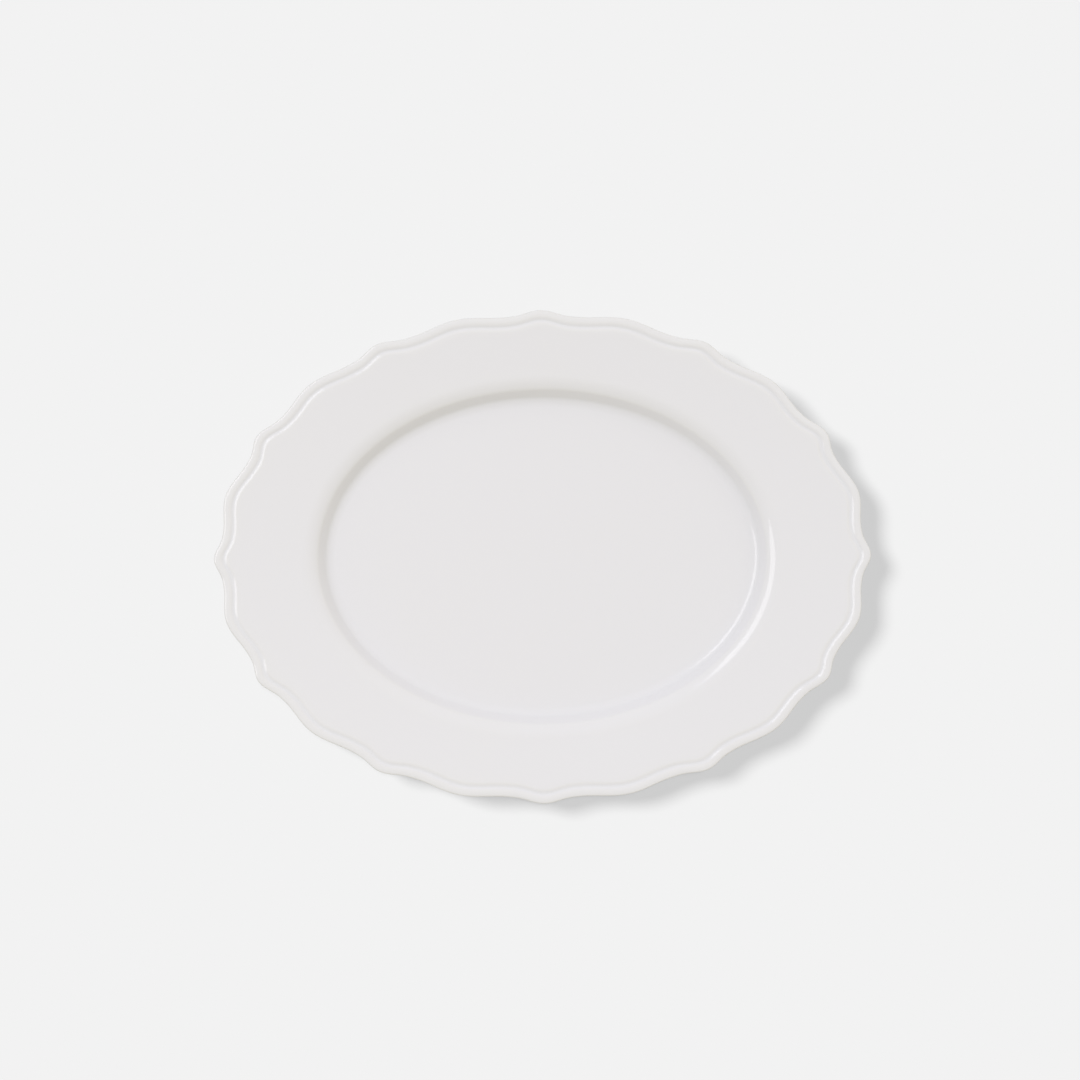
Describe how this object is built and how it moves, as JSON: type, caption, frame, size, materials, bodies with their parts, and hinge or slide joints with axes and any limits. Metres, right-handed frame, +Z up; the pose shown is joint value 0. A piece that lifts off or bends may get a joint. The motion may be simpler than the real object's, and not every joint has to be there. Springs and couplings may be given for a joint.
{
  "type": "oval serving platter",
  "caption": "Oval ceramic serving platter with a shallow flat well, a broad sloping rim and a scalloped beaded edge, under glossy white glaze, for carrying and serving food.",
  "frame": {"origin": "centre of the platter, on the plane of the foot ring's bare flat", "axes": "+X along the length, +Y across the width, +Z up out of the well"},
  "size_m": [0.305, 0.229, 0.019],
  "materials": {
    "fired_clay": "bare fired clay, matt",
    "white_glaze": "glossy white glaze"
  },
  "bodies": {
    "root": {"clay_body": "fired_clay", "glaze_coat": "white_glaze", "base_glaze": "white_glaze"}
  },
  "joints": []
}
